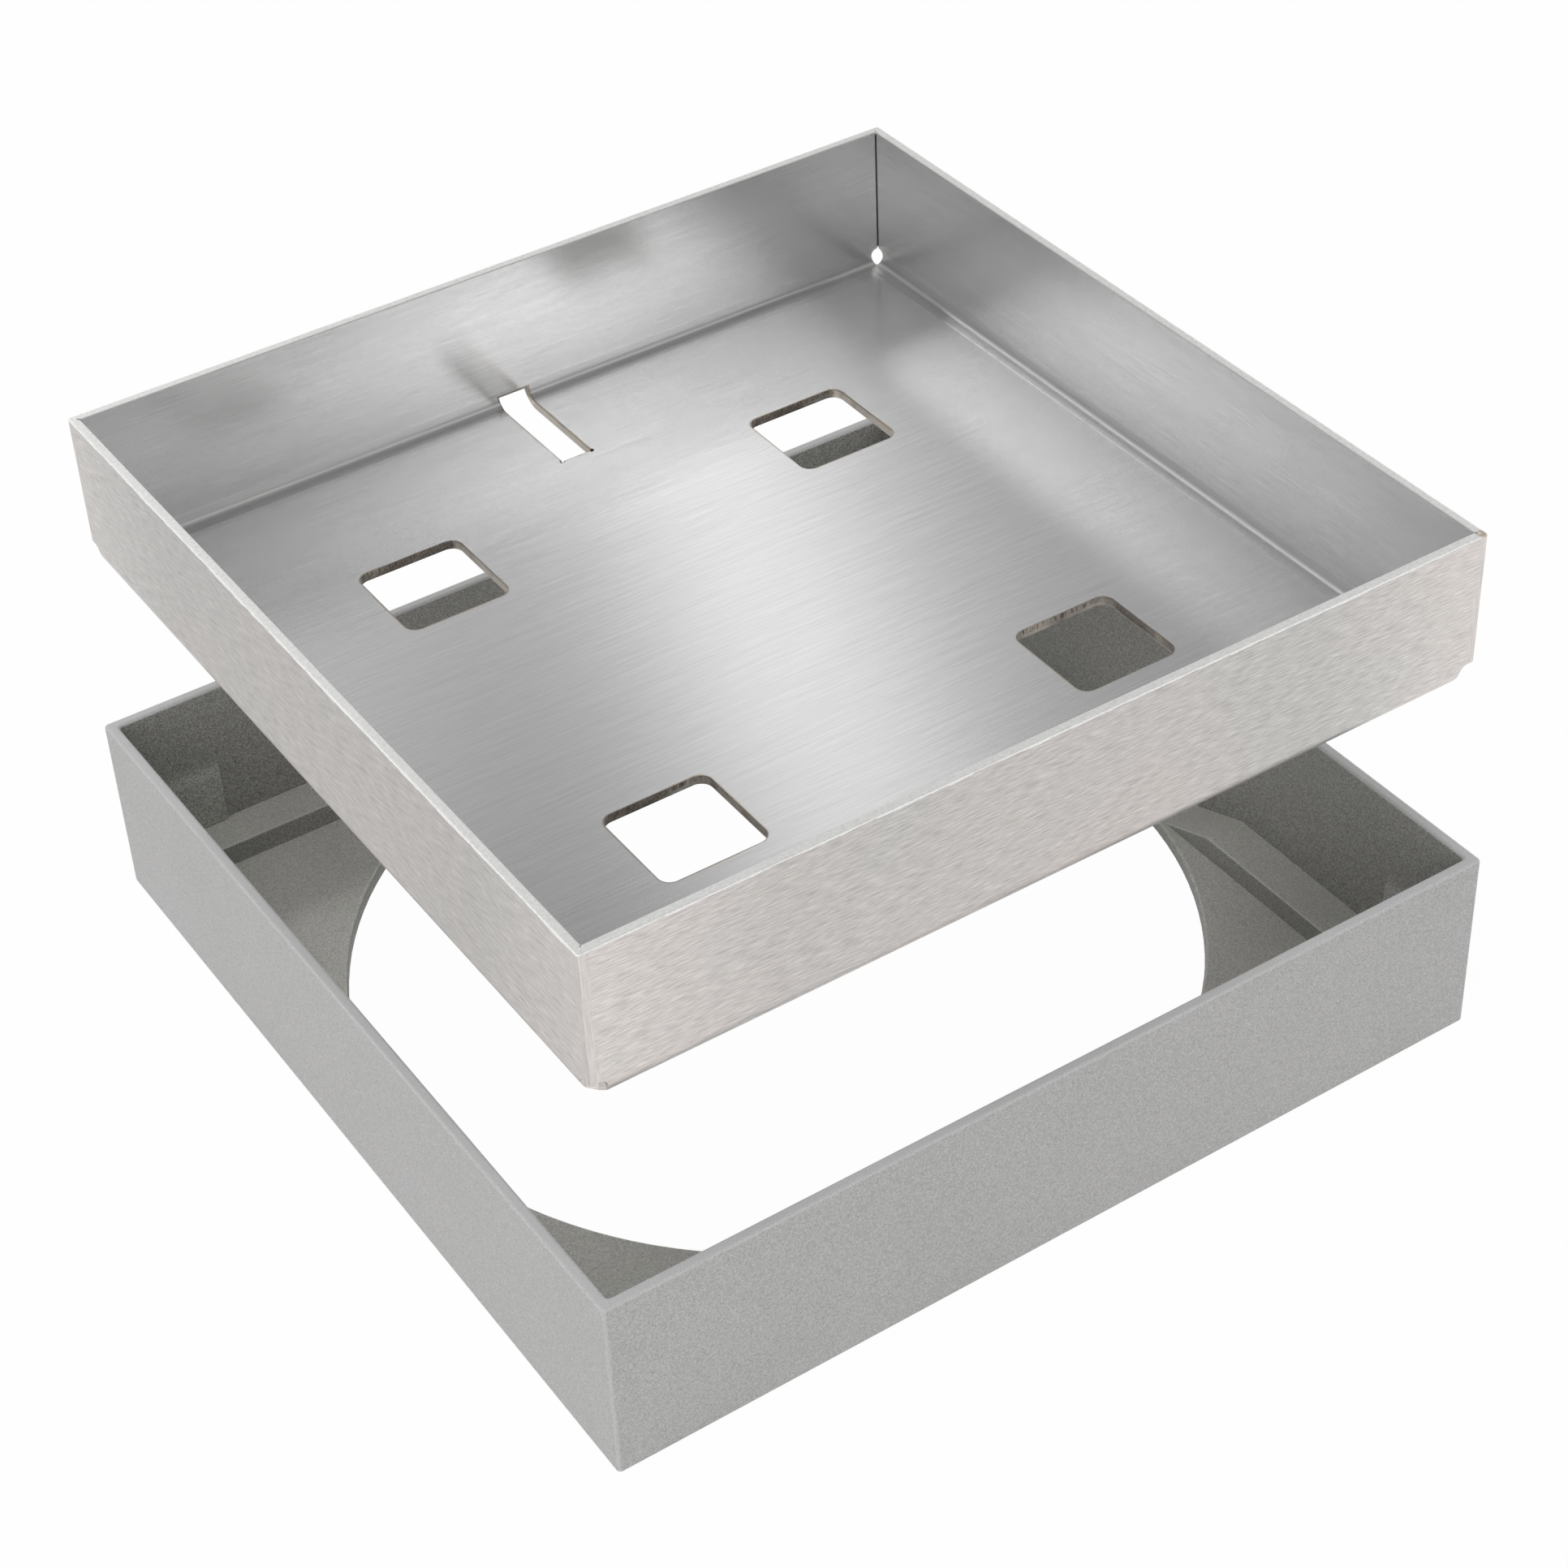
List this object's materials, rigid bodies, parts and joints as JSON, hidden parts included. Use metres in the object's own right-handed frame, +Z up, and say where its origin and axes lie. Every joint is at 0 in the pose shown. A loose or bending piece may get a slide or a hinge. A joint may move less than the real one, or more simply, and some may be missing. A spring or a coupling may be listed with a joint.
{
  "type": "polymer access cover",
  "caption": "Square recessed access cover: a folded stainless steel tray, lifted clear of the moulded polymer frame that seats it.",
  "frame": {"origin": "middle of the polymer frame's underside", "axes": "+Z up, +Y towards the tray wall that has the key slot, +X to the right when looking along +Y"},
  "size_m": [0.313, 0.313, 0.1857],
  "materials": {
    "tray_steel": "brushed",
    "frame_polymer": "fine sand texture"
  },
  "bodies": {
    "root": {"infill_tray": "tray_steel", "seat_frame": "frame_polymer"}
  },
  "joints": []
}
